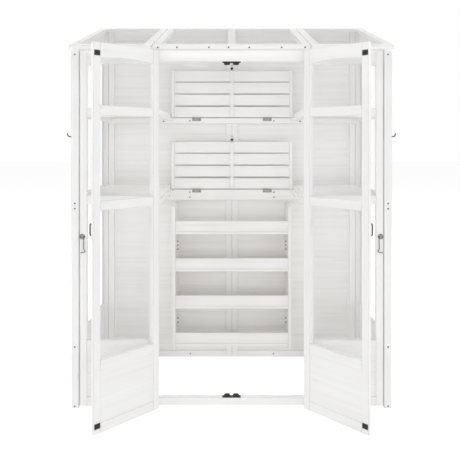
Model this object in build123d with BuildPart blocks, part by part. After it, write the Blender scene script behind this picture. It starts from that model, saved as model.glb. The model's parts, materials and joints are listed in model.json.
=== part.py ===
from build123d import *
import os
from math import cos, radians, sin, tan

# Lean-to greenhouse of white-painted softwood: a pitched roof of clear sheet, two glazed
# front panels beside a pair of glazed doors, glazed sides and a boarded back wall that
# carries slatted side shelves, two drop-leaf shelves and a rack of trays.
# Millimetres, +Z up, +X to the right of someone facing the doors, +Y towards the back wall.
# The origin is the middle of the door sill's underside, on the ground.

# Overall sizes
width = 1630.0
depth = 705.0
eave_height = 1828.0
roof_pitch = 17.5
ground_gap = 8.0
door_rest_angle = 135.0

# Timber sections
post_side = 38.0
post_proud = 10.0
side_inset = 5.0
panel_thickness = 28.0
side_thickness = 15.0
door_thickness = 22.0
stile_width = 36.0
rail_height = 45.0
bottom_rail_height = 48.0
head_rail_height = 62.0
head_arch_rise = 11.0
back_stile_width = 38.0
back_top_rail = 60.0

# Heights of the rails that divide the lights
dado_top = 345.0
dado_rail_height = 50.0
lower_rail_top = 1083.0
upper_rail_top = 1528.0

# Sheet infill
glass_thickness = 4.0
board_thickness = 12.0
fit_clearance = 0.3

# Doorway
door_opening = 768.0
door_gap = 6.0
door_head_gap = 8.0
sill_height = 39.0
sill_depth = 36.0
lintel_bottom = 1770.0

# Roof
roof_thickness = 20.0
roof_sheet_margin = 6.0
roof_bar_width = 42.0
roof_front_overhang = 8.0
roof_side_overhang = 8.0
roof_seam_x = 403.0
roof_seam_gap = 2.0

# Slatted shelves and drop leaves
slat_width = 65.0
slat_thickness = 9.0
leaf_bearer_width = 20.0
leaf_bearer_depth = 14.0
leaf_width = 756.0
leaf_slats = 4
leaf_height = 292.0
leaf_wall_gap = 8.0
leaf_rail_gap = 5.0
upper_leaf_rail_height = 34.0
lower_leaf_rail_height = 66.0
shelf_slats = 8
shelf_end_gap = 5.0
shelf_leaf_gap = 8.0
shelf_ledge_width = 20.0
shelf_ledge_drop = 5.0
shelf_bearer_width = 24.0
shelf_bearer_height = 36.0

# Rack of trays
rack_width = 712.0
rack_depth = 200.0
rack_side_thickness = 22.0
rack_bottom = 117.0
rack_top = 970.0
tray_count = 4
tray_top = 882.0
tray_pitch = 221.0
tray_board = 15.0
tray_lip_height = 62.0
tray_lip_thickness = 12.0
tray_lip_setback = 3.0

# Butt hinges
barrel_radius = 3.5
pin_radius = 1.8
pin_clearance = 0.08
barrel_gap = 0.4
hinge_plate = 1.5
door_hinge_length = 64.0
door_hinge_leaf = 24.0
door_hinge_heights = (170.0, 960.0, 1650.0)
leaf_hinge_length = 56.0
leaf_hinge_leaf = 20.0
leaf_hinge_x = 220.0

# Pulls, catches and hooks
wire_sides = 8
pull_height = 949.0
pull_length = 56.0
pull_projection = 30.0
pull_radius = 3.0
pull_bend_radius = 9.0
pull_edge_inset = 12.0
strike_width = 30.0
strike_height = 25.0
strike_thickness = 2.0
strike_edge_inset = 3.0
catch_width = 94.0
catch_flange = 4.0
catch_height = 17.0
catch_depth = 16.0
magnet_width = 34.0
magnet_taper = 4.0
magnet_spacing = 46.0
hook_eye_height = 874.0
hook_length = 82.0
hook_radius = 1.8
hook_plate_radius = 14.0
hook_plate_thickness = 2.5
hook_standoff = 8.0
hook_toe = 24.0
hook_toe_reach = 14.0
hook_bend_radius = 5.0
cup_hook_height = 1382.0
cup_hook_reach = 24.0
cup_hook_rise = 18.0
cup_hook_radius = 2.0
cup_hook_bend_radius = 9.0
leaf_catch_width = 20.0
leaf_catch_height = 14.0
leaf_catch_gap = 8.0

# Planes and lines worked out from the sizes above
front_y = -(sill_depth / 2 + post_side)
panel_y = front_y + post_proud
inner_front_y = panel_y + panel_thickness
back_y = front_y + depth
inner_back_y = back_y - panel_thickness
board_face_y = back_y - board_thickness
half_width = width / 2
inner_post_x = half_width - post_side
side_outer_x = half_width - side_inset
jamb_x = door_opening / 2
door_top = eave_height - door_head_gap
door_width = jamb_x - door_gap - door_gap / 2
leaf_thickness = slat_thickness + leaf_bearer_depth
leaf_y = inner_back_y - leaf_wall_gap - leaf_thickness
rack_front_y = inner_back_y - rack_depth
shelf_inner_x = leaf_width / 2 + shelf_leaf_gap
hinge_axis = (-(jamb_x - door_gap / 2), panel_y - barrel_radius)
pitch_rise = tan(radians(roof_pitch))


def roof_under(y):
    """Height of the roof's underside at depth y."""
    return eave_height + (y - front_y) * pitch_rise


def bar(x_span, y_span, z_span):
    """A straight timber that fills the three spans."""
    low_z, high_z = z_span
    with BuildPart() as timber:
        with BuildSketch(Plane.XY.offset(low_z)):
            with Locations((sum(x_span) / 2, sum(y_span) / 2)):
                Rectangle(x_span[1] - x_span[0], y_span[1] - y_span[0])
        extrude(amount=high_z - low_z)
    return timber.part


def mirrored(piece):
    """The right-hand twin of a left-hand piece."""
    with BuildPart() as twin:
        mirror(piece, about=Plane.YZ)
    return twin.part


def joined(*pieces):
    """Several solids that share one node."""
    with BuildPart() as group:
        for piece in pieces:
            add(piece)
    return group.part


# Posts: square, with tops cut to the roof's slope
def post(low_y):
    high_y = low_y + post_side
    with BuildPart() as timber:
        with BuildSketch(Plane.YZ.offset(-half_width)):
            with BuildLine():
                Polyline(
                    (low_y, 0),
                    (high_y, 0),
                    (high_y, roof_under(high_y)),
                    (low_y, roof_under(low_y)),
                    close=True,
                )
            make_face()
        extrude(amount=post_side)
    return timber.part


# Glazed panels: stiles and rails round three lights, over a boarded dado
def light(left, right, low, high, rise=0.0, high_right=None):
    """Outline of one light: level, arched by rise, or with a sloping head."""
    end = high if high_right is None else high_right
    with BuildSketch() as outline:
        with BuildLine():
            Polyline((left, high), (left, low), (right, low), (right, end))
            if rise:
                ThreePointArc((left, high), ((left + right) / 2, high + rise), (right, end))
            else:
                Line((left, high), (right, end))
        make_face()
    return outline.sketch


def panel_lights(panel_width, top, inset=0.0):
    """The three lights of a door or front panel, drawn smaller all round by inset."""
    left, right = stile_width + inset, panel_width - stile_width - inset
    spring = top - head_rail_height - head_arch_rise
    return [
        light(left, right, dado_top + inset, lower_rail_top - rail_height - inset),
        light(left, right, lower_rail_top + inset, upper_rail_top - rail_height - inset),
        light(left, right, upper_rail_top + inset, spring - inset, head_arch_rise),
    ]


def panel_dado(panel_width, inset=0.0):
    """The boarded field under the lights."""
    left, right = stile_width + inset, panel_width - stile_width - inset
    low = ground_gap + bottom_rail_height + inset
    return light(left, right, low, dado_top - dado_rail_height - inset)


def panel_frame(face, panel_width, top, thickness):
    """Stiles and rails cut from the face inwards; x starts at one edge, y at the ground."""
    with BuildPart() as frame:
        with BuildSketch(face):
            with Locations((panel_width / 2, (ground_gap + top) / 2)):
                Rectangle(panel_width, top - ground_gap)
            for opening in [*panel_lights(panel_width, top), panel_dado(panel_width)]:
                add(opening, mode=Mode.SUBTRACT)
        extrude(amount=-thickness)
    return frame.part


def sheets(face, outlines, frame_thickness, sheet_thickness):
    """Flat sheets in the middle of a frame's thickness."""
    with BuildPart() as sheet:
        with BuildSketch(face.offset(-(frame_thickness - sheet_thickness) / 2)):
            for outline in outlines:
                add(outline)
        extrude(amount=-sheet_thickness)
    return sheet.part


# Side walls: as the front panels, with a head that follows the roof
side_low_y = front_y + post_side
side_high_y = back_y - post_side


def side_lights(inset=0.0):
    left, right = side_low_y + stile_width + inset, side_high_y - stile_width - inset
    head = head_rail_height + inset
    return [
        light(left, right, dado_top + inset, lower_rail_top - rail_height - inset),
        light(left, right, lower_rail_top + inset, upper_rail_top - rail_height - inset),
        light(
            left,
            right,
            upper_rail_top + inset,
            roof_under(left) - head,
            high_right=roof_under(right) - head,
        ),
    ]


def side_dado(inset=0.0):
    left, right = side_low_y + stile_width + inset, side_high_y - stile_width - inset
    low = ground_gap + bottom_rail_height + inset
    return light(left, right, low, dado_top - dado_rail_height - inset)


def side_frame(face):
    with BuildPart() as frame:
        with BuildSketch(face):
            add(
                light(
                    side_low_y,
                    side_high_y,
                    ground_gap,
                    roof_under(side_low_y),
                    high_right=roof_under(side_high_y),
                )
            )
            for opening in [*side_lights(), side_dado()]:
                add(opening, mode=Mode.SUBTRACT)
        extrude(amount=side_thickness)
    return frame.part


# Back wall: two framed halves that meet in the middle, boarded flush with the outside
back_top = roof_under(inner_back_y)


def back_field(inset=0.0):
    left, right = -inner_post_x + back_stile_width + inset, -back_stile_width - inset
    return light(left, right, sill_height + inset, back_top - back_top_rail - inset)


def back_frame():
    with BuildPart() as frame:
        with BuildSketch(Plane.XZ.offset(-inner_back_y)):
            with Locations((-inner_post_x / 2, back_top / 2)):
                Rectangle(inner_post_x, back_top)
            add(back_field(), mode=Mode.SUBTRACT)
        extrude(amount=-panel_thickness)
    return frame.part


def back_boards():
    with BuildPart() as boards:
        with BuildSketch(Plane.XZ.offset(-board_face_y)):
            add(back_field(fit_clearance))
        extrude(amount=-board_thickness)
    return boards.part


# Roof: three framed sections side by side on the slope, with clear sheet laid over the rafters
roof_plane = Plane(
    origin=(0, front_y - roof_front_overhang, roof_under(front_y - roof_front_overhang)),
    x_dir=(1, 0, 0),
    z_dir=(0, -sin(radians(roof_pitch)), cos(radians(roof_pitch))),
)
roof_length = (depth + roof_front_overhang) / cos(radians(roof_pitch))
roof_edge_x = half_width + roof_side_overhang


def roof_fields(left, right, bars):
    """Openings between the rafters of one section, which has bars inner rafters."""
    pitch = (right - left - roof_bar_width) / (bars + 1)
    starts = [left + roof_bar_width + index * pitch for index in range(bars + 1)]
    clear = pitch - roof_bar_width
    return [light(start, start + clear, roof_bar_width, roof_length - roof_bar_width) for start in starts]


def roof_frame(left, right, bars=0):
    with BuildPart() as frame:
        with BuildSketch(roof_plane):
            with Locations(((left + right) / 2, roof_length / 2)):
                Rectangle(right - left, roof_length)
            for opening in roof_fields(left, right, bars):
                add(opening, mode=Mode.SUBTRACT)
        extrude(amount=roof_thickness)
    return frame.part


def roof_sheet(left, right):
    with BuildPart() as sheet:
        with BuildSketch(roof_plane.offset(roof_thickness)):
            with Locations(((left + right) / 2, roof_length / 2)):
                Rectangle(right - left - 2 * roof_sheet_margin, roof_length - 2 * roof_sheet_margin)
        extrude(amount=glass_thickness)
    return sheet.part


# Drop leaf: slats on three bearers, folded up against the wall above its rail
def leaf_pin_height(shelf_top):
    """Height of the leaf's hinge pins, from which it lies level with the shelves."""
    return shelf_top - leaf_thickness - barrel_radius


def drop_leaf(shelf_top):
    low_z = leaf_pin_height(shelf_top) + barrel_radius
    bearer_spread = (leaf_width - leaf_bearer_width) / 2
    slat_pitch = (leaf_height - slat_width) / (leaf_slats - 1)
    with BuildPart() as leaf:
        with BuildSketch(Plane.XZ.offset(-leaf_y)):
            with Locations((0, low_z + leaf_height / 2)):
                with GridLocations(bearer_spread, 0, 3, 1):
                    Rectangle(leaf_bearer_width, leaf_height)
            with Locations((0, low_z + slat_width / 2)):
                Rectangle(leaf_width, slat_width)
        extrude(amount=-leaf_bearer_depth)
        with BuildSketch(Plane.XZ.offset(-(leaf_y + leaf_bearer_depth))):
            with Locations((0, low_z + leaf_height / 2)):
                with GridLocations(0, slat_pitch, 1, leaf_slats):
                    Rectangle(leaf_width, slat_width)
        extrude(amount=-slat_thickness)
    return leaf.part


def leaf_rail(shelf_top, height):
    """Rail on the back wall that the leaf's hinges are screwed to."""
    top = leaf_pin_height(shelf_top) + barrel_radius - leaf_rail_gap
    span = (-inner_post_x, inner_post_x)
    return bar(span, (leaf_y, inner_back_y), (top - height, top))


# Side shelf: slats on two bearers, of which the inner one is stepped to take the leaf's end
def side_shelf(shelf_top):
    slat_under = shelf_top - slat_thickness
    bearer_low = slat_under - shelf_bearer_height
    ledge_top = leaf_pin_height(shelf_top) + barrel_radius - shelf_ledge_drop
    ledge_x = -(shelf_inner_x - shelf_ledge_width)
    bearer_x = -(shelf_inner_x + shelf_bearer_width)
    shelf_depth = leaf_y - inner_front_y
    slat_pitch = (shelf_depth - slat_width) / (shelf_slats - 1)
    slat_length = inner_post_x - shelf_end_gap - shelf_inner_x
    with BuildPart() as shelf:
        with BuildSketch(Plane.XZ.offset(-inner_front_y)):
            with BuildLine():
                Polyline(
                    (ledge_x, bearer_low),
                    (ledge_x, ledge_top),
                    (-shelf_inner_x, ledge_top),
                    (-shelf_inner_x, slat_under),
                    (bearer_x, slat_under),
                    (bearer_x, bearer_low),
                    close=True,
                )
            make_face()
            with Locations(
                (-(inner_post_x - shelf_bearer_width / 2), slat_under - shelf_bearer_height / 2)
            ):
                Rectangle(shelf_bearer_width, shelf_bearer_height)
        extrude(amount=-shelf_depth)
        with BuildSketch(Plane.XY.offset(slat_under)):
            with Locations((-(shelf_inner_x + slat_length / 2), inner_front_y + shelf_depth / 2)):
                with GridLocations(0, slat_pitch, 1, shelf_slats):
                    Rectangle(slat_length, slat_width)
        extrude(amount=slat_thickness)
    return shelf.part


# Rack: two sides, and trays with a front lip
def rack_side():
    with BuildPart() as side:
        with BuildSketch(Plane.YZ.offset(-rack_width / 2)):
            with Locations(((rack_front_y + board_face_y) / 2, (rack_bottom + rack_top) / 2)):
                Rectangle(board_face_y - rack_front_y, rack_top - rack_bottom)
        extrude(amount=rack_side_thickness)
    return side.part


def tray(index):
    board_top = tray_top - index * tray_pitch - tray_lip_height
    lip_y = rack_front_y + tray_lip_setback
    half = rack_width / 2 - rack_side_thickness
    with BuildPart() as shelf:
        with BuildSketch(Plane.YZ.offset(-half)):
            with BuildLine():
                Polyline(
                    (rack_front_y, board_top - tray_board),
                    (inner_back_y, board_top - tray_board),
                    (inner_back_y, board_top),
                    (lip_y + tray_lip_thickness, board_top),
                    (lip_y + tray_lip_thickness, board_top + tray_lip_height),
                    (lip_y, board_top + tray_lip_height),
                    (lip_y, board_top),
                    (rack_front_y, board_top),
                    close=True,
                )
            make_face()
        extrude(amount=2 * half)
    return shelf.part


# Doors: planes whose origin is on the hinge pin, x along the door and z out of its outer face
def door_plane(opening):
    angle = radians(opening)
    along = (cos(angle), -sin(angle), 0)
    return Plane(origin=(*hinge_axis, 0), x_dir=along, z_dir=(-sin(angle), -cos(angle), 0))


door_pin = door_plane(door_rest_angle)
door_face = Plane(
    origin=door_pin.from_local_coords((door_gap / 2, 0, -barrel_radius)),
    x_dir=door_pin.x_dir,
    z_dir=door_pin.z_dir,
)


# Hinges: a plate on the wood and barrels round a pin
def hinge_half(pin, length, plate_width, spans, pinned):
    """One hinge half. The pin plane's x is the pin, y runs along the plate, z leaves the wood."""
    reach = barrel_radius + barrel_gap
    with BuildPart() as half:
        with BuildSketch(pin.offset(-barrel_radius)):
            with Locations((0, (reach + plate_width) / 2)):
                Rectangle(length, plate_width - reach)
            for start, stop in spans:
                with Locations(((start + stop) / 2, reach / 2)):
                    Rectangle(stop - start, reach)
        extrude(amount=hinge_plate)
        for start, stop in spans:
            foot = pin.from_local_coords((start, 0, 0))
            with BuildSketch(Plane(origin=foot, x_dir=pin.y_dir, z_dir=pin.x_dir)):
                Circle(barrel_radius)
            extrude(amount=stop - start)
        foot = pin.from_local_coords((-length / 2, 0, 0))
        with BuildSketch(Plane(origin=foot, x_dir=pin.y_dir, z_dir=pin.x_dir)):
            Circle(pin_radius if pinned else pin_radius + pin_clearance)
        extrude(amount=length, mode=Mode.ADD if pinned else Mode.SUBTRACT)
    return half.part


def barrel_spans(length, outer):
    """The two end barrels of a hinge, or the middle one between them."""
    third = length / 6
    if outer:
        return [(-length / 2, -third), (third, length / 2)]
    return [(-third + barrel_gap, third - barrel_gap)]


def door_hinges(opening, along, outer):
    """The hinge halves on one side of the pin: along is 1 on the door and -1 on its jamb."""
    face = door_plane(opening)
    plate = face.x_dir * along
    spans = barrel_spans(door_hinge_length, outer)
    halves = []
    for height in door_hinge_heights:
        origin = face.from_local_coords((0, height, 0))
        pin = Plane(origin=origin, x_dir=plate.cross(face.z_dir), z_dir=face.z_dir)
        halves.append(hinge_half(pin, door_hinge_length, door_hinge_leaf, spans, outer))
    return joined(*halves)


def leaf_hinges(shelf_top, on_rail):
    """The hinge halves of a drop leaf: upright on its rail, or flat under its thick bottom slat."""
    spans = barrel_spans(leaf_hinge_length, on_rail)
    out = (0, -1, 0) if on_rail else (0, 0, -1)
    halves = []
    for x in (-leaf_hinge_x, leaf_hinge_x):
        origin = (x, leaf_y - barrel_radius, leaf_pin_height(shelf_top))
        pin = Plane(origin=origin, x_dir=(-1, 0, 0), z_dir=out)
        halves.append(hinge_half(pin, leaf_hinge_length, leaf_hinge_leaf, spans, on_rail))
    return joined(*halves)


# Bent wire: pulls, hold-back hooks and cup hooks
def wire(points, bend_radius, radius):
    """Eight-sided wire along the points, bent at each corner."""
    with BuildPart() as rod:
        with BuildLine() as path:
            FilletPolyline(*points, radius=bend_radius)
        with BuildSketch(Plane(origin=path.line @ 0, z_dir=path.line % 0)):
            RegularPolygon(radius, wire_sides)
        sweep()
    return rod.part


def door_pull():
    x = door_width - pull_edge_inset
    low, high = pull_height - pull_length / 2, pull_height + pull_length / 2
    corners = [(x, low, 0), (x, low, pull_projection), (x, high, pull_projection), (x, high, 0)]
    points = [door_face.from_local_coords(corner) for corner in corners]
    return wire(points, pull_bend_radius, pull_radius)


def hold_back_hook():
    x, y = -(inner_post_x - stile_width / 2), panel_y - hook_standoff
    foot = hook_eye_height - hook_length
    toe_x = x - hook_toe_reach
    points = [
        (x, panel_y, hook_eye_height),
        (x, y, hook_eye_height),
        (x, y, foot),
        (toe_x, y, foot),
        (toe_x, y, foot + hook_toe),
    ]
    with BuildPart() as hook:
        with BuildSketch(Plane.XZ.offset(-panel_y)):
            with Locations((x, hook_eye_height)):
                Circle(hook_plate_radius)
        extrude(amount=hook_plate_thickness)
        add(wire(points, hook_bend_radius, hook_radius))
    return hook.part


def cup_hook():
    y, tip_x = front_y + post_side / 2, -(half_width + cup_hook_reach)
    points = [
        (-half_width, y, cup_hook_height),
        (tip_x, y, cup_hook_height),
        (tip_x, y, cup_hook_height + cup_hook_rise),
    ]
    return wire(points, cup_hook_bend_radius, cup_hook_radius)


# Magnetic catch: a flange with two tapered blocks, on the sill or hung under the head
def door_catch(base, up):
    half, shoulder, top = catch_width / 2, base + up * catch_flange, base + up * catch_height
    block = magnet_width / 2
    with BuildPart() as catch:
        with BuildSketch(Plane.XZ.offset(sill_depth / 2 - fit_clearance)):
            with BuildLine():
                Polyline(
                    (-half, base),
                    (half, base),
                    (half, shoulder),
                    (magnet_spacing / 2 + block, shoulder),
                    (magnet_spacing / 2 + block - magnet_taper, top),
                    (magnet_spacing / 2 - block + magnet_taper, top),
                    (magnet_spacing / 2 - block, shoulder),
                    (-magnet_spacing / 2 + block, shoulder),
                    (-magnet_spacing / 2 + block - magnet_taper, top),
                    (-magnet_spacing / 2 - block + magnet_taper, top),
                    (-magnet_spacing / 2 - block, shoulder),
                    (-half, shoulder),
                    close=True,
                )
            make_face()
        extrude(amount=-catch_depth)
    return catch.part


def door_strikes():
    x = door_width - strike_edge_inset - strike_width / 2
    heights = [sill_height + catch_height / 2, lintel_bottom]
    with BuildPart() as strikes:
        with BuildSketch(door_face.offset(-door_thickness)):
            with Locations(*[(x, height) for height in heights]):
                Rectangle(strike_width, strike_height)
        extrude(amount=-strike_thickness)
    return strikes.part


def leaf_catch(shelf_top):
    """Spring catch on the back wall's middle stiles, over a folded leaf."""
    low = leaf_pin_height(shelf_top) + barrel_radius + leaf_height + leaf_catch_gap
    span = (-leaf_catch_width / 2, leaf_catch_width / 2)
    return bar(span, (leaf_y, inner_back_y), (low, low + leaf_catch_height))


# Pieces of the left half, and those on the middle line
front_face = Plane(origin=(-inner_post_x, panel_y, 0), x_dir=(1, 0, 0), z_dir=(0, -1, 0))
front_panel_width = inner_post_x - jamb_x
side_face = Plane.YZ.offset(-side_outer_x)
sill_span = (-(jamb_x + stile_width), jamb_x + stile_width)
sill_y_span = (-sill_depth / 2, sill_depth / 2)
seam_edge = roof_seam_x + roof_seam_gap / 2
centre_edge = roof_seam_x - roof_seam_gap / 2

front_lights = panel_lights(front_panel_width, door_top, fit_clearance)
front_dado = [panel_dado(front_panel_width, fit_clearance)]
door_lights = panel_lights(door_width, door_top, fit_clearance)
door_dado = [panel_dado(door_width, fit_clearance)]
side_middle = side_face.offset(side_thickness)

left_pieces = {
    "front_panel": panel_frame(front_face, front_panel_width, door_top, panel_thickness),
    "side_panel": side_frame(side_face),
    "back_panel": back_frame(),
    "roof_section": roof_frame(-roof_edge_x, -seam_edge),
    "upper_shelf": side_shelf(upper_rail_top),
    "lower_shelf": side_shelf(lower_rail_top),
    "door": panel_frame(door_face, door_width, door_top, door_thickness),
    "door_boards": sheets(door_face, door_dado, door_thickness, board_thickness),
    "door_glazing": sheets(door_face, door_lights, door_thickness, glass_thickness),
    "door_pull": door_pull(),
    "door_strikes": door_strikes(),
    "door_hinges": door_hinges(door_rest_angle, 1, False),
}
paired_pieces = {
    "front_posts": post(front_y),
    "back_posts": post(back_y - post_side),
    "front_boards": sheets(front_face, front_dado, panel_thickness, board_thickness),
    "front_glazing": sheets(front_face, front_lights, panel_thickness, glass_thickness),
    "side_boards": sheets(side_middle, [side_dado(fit_clearance)], side_thickness, board_thickness),
    "side_glazing": sheets(side_middle, side_lights(fit_clearance), side_thickness, glass_thickness),
    "back_boards": back_boards(),
    "rack_sides": rack_side(),
    "door_jamb_hinges": door_hinges(0, -1, True),
    "hold_back_hooks": hold_back_hook(),
    "cup_hooks": cup_hook(),
}
side_roof_sheet = roof_sheet(-roof_edge_x, -seam_edge)

pieces = {}
for name, piece in left_pieces.items():
    pieces["left_" + name] = piece
    pieces["right_" + name] = mirrored(piece)
for name, piece in paired_pieces.items():
    pieces[name] = joined(piece, mirrored(piece))
pieces["door_head"] = bar(sill_span, sill_y_span, (lintel_bottom, eave_height))
pieces["door_sill"] = bar(sill_span, sill_y_span, (0, sill_height))
pieces["middle_roof_section"] = roof_frame(-centre_edge, centre_edge, 1)
pieces["roof_glazing"] = joined(
    side_roof_sheet,
    mirrored(side_roof_sheet),
    roof_sheet(-centre_edge, centre_edge),
)
pieces["upper_leaf_rail"] = leaf_rail(upper_rail_top, upper_leaf_rail_height)
pieces["lower_leaf_rail"] = leaf_rail(lower_rail_top, lower_leaf_rail_height)
pieces["upper_leaf"] = drop_leaf(upper_rail_top)
pieces["lower_leaf"] = drop_leaf(lower_rail_top)
pieces["upper_leaf_hinges"] = leaf_hinges(upper_rail_top, False)
pieces["lower_leaf_hinges"] = leaf_hinges(lower_rail_top, False)
pieces["leaf_rail_hinges"] = joined(
    leaf_hinges(upper_rail_top, True),
    leaf_hinges(lower_rail_top, True),
)
for index in range(tray_count):
    pieces[f"tray_{index + 1}"] = tray(index)
pieces["door_catches"] = joined(door_catch(sill_height, 1), door_catch(lintel_bottom, -1))
pieces["leaf_catches"] = joined(leaf_catch(upper_rail_top), leaf_catch(lower_rail_top))

os.makedirs("parts", exist_ok=True)
for name, piece in pieces.items():
    piece.label = name
    export_step(piece, f"parts/{name}.step")
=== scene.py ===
import json
import math
import random

import bmesh
import bpy
from bpy.props import FloatProperty, FloatVectorProperty, IntProperty, PointerProperty
from mathutils import Matrix, Vector


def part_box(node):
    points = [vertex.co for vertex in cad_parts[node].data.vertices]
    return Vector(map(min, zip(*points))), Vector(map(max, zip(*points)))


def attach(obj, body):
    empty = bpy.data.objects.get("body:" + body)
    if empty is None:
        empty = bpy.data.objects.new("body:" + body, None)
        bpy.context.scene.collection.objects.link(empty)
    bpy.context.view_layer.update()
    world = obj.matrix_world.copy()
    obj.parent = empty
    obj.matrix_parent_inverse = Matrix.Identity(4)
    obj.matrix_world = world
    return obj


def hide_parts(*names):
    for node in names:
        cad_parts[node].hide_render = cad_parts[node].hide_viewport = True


bl_info = {
    "name": "Lean-to greenhouse",
    "version": (1, 0, 0),
    "blender": (4, 5, 0),
    "location": "View3D > Sidebar > Greenhouse",
    "description": "Builds a white-painted lean-to greenhouse, timber by timber",
    "category": "Object",
}

# Metres, +Z up, +X to the right of someone facing the doors, +Y towards the back wall.
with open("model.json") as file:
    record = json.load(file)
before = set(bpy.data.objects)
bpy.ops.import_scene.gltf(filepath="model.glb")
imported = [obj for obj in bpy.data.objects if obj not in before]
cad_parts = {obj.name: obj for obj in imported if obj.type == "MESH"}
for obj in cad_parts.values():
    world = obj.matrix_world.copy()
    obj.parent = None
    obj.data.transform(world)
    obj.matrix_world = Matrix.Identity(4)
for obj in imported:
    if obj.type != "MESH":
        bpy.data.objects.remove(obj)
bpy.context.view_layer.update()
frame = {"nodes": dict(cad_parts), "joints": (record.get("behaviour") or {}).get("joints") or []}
SIDES = {"left": -1.0, "right": 1.0}
LEVELS = ("upper", "lower")
FRONT = Vector((0, -1, 0))
DOWN = Vector((0, 0, -1))
WHITE = (1.0, 1.0, 1.0, 1.0)

# Bars between a roof section's outer rafters, and how far painted shade greys the roof sheet over fields,
# bars and rims
ROOF_BARS = {"left": 0, "middle": 1, "right": 0}
# The grey is painted shade and reflection: it stands for the light the sheet reflects at a slant and the
# shaded room seen through it
PAINTED_SHADE = {"open": 1.0, "bar": 0.7, "rim": 0.3}

# How far boards run on under their frame
BOARD_OVERLAP = 0.004

# Reach of the random shift that gives each board a grain of its own
GRAIN_SHIFT = 20.0

# Edges that turn more than this are eased, in so many steps
KEEN_ANGLE = 0.5
EASING_STEPS = 2

# Points round a bend in a wire, the gap that welds two points, and the angle that stays sharp
BEND_STEPS = 8
WELD = 1e-6
SHARP_ANGLE = math.radians(40)

# Heights of the rack's pegs and of the door hinges' middles
PEG_HEIGHTS = (0.744, 0.720, 0.696, 0.274, 0.248)
HINGE_HEIGHTS = (0.170, 0.960, 1.650)

# Screws: heights on the front posts, and places across the house
POST_SCREWS = (0.013, 0.314, 1.017, 1.043, 1.801)
ROOF_SCREWS = (-0.373, -0.276, -0.114, -0.015, 0.090, 0.254, 0.373)
BACK_SCREW = (0.262, 0.020)

# Screws on the leaves' rails: distance from the middle, share of the rail's height
RAIL_SCREWS = {
    "upper": ((0.262, 0.5), (0.425, 0.42)),
    "lower": ((0.262, 0.28), (0.262, 0.75), (0.392, 0.42)),
}

# The studio: lamps as place, target, width and watts, those at the sides mirrored
FLOOR_HALF = 30.0
LAMPS = {
    "front": ((0.0, -7.0, 1.3), (0.0, 0.3, 1.0), 4.0, 130.0),
    "top": ((0.0, 0.6, 5.2), (0.0, 0.3, 0.0), 3.5, 95.0),
}
SIDE_LAMPS = {
    "_front": ((5.0, -4.5, 2.0), (0.0, 0.2, 1.0), 4.0, 66.0),
    "": ((4.6, 1.5, 3.2), (0.0, 0.3, 1.0), 4.0, 115.0),
}

# How bright floor and sky are to the light in the room, and to the camera
FLOOR_GLOW = (0.18, 0.9)
SKY_GLOW = (0.23, 1.0)
DIFFUSE_BOUNCES = 12

# A level camera, shifted as the framing needs
CAMERA = {"lens": 43.9, "sensor_width": 36.0, "shift_x": -0.0087, "shift_y": -0.2}
EYE = (0.013, -2.906, 1.376)


def length(name, description, default):
    """A size that a user would change."""
    return FloatProperty(name=name, description=description, default=default, unit="LENGTH")


def count(name, description, default):
    """A number of like things."""
    return IntProperty(name=name, description=description, default=default)


def colour(name, description, default):
    """A finish's colour."""
    return FloatVectorProperty(
        name=name, description=description, default=default, size=4, min=0.0, max=1.0, subtype="COLOR"
    )


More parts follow.
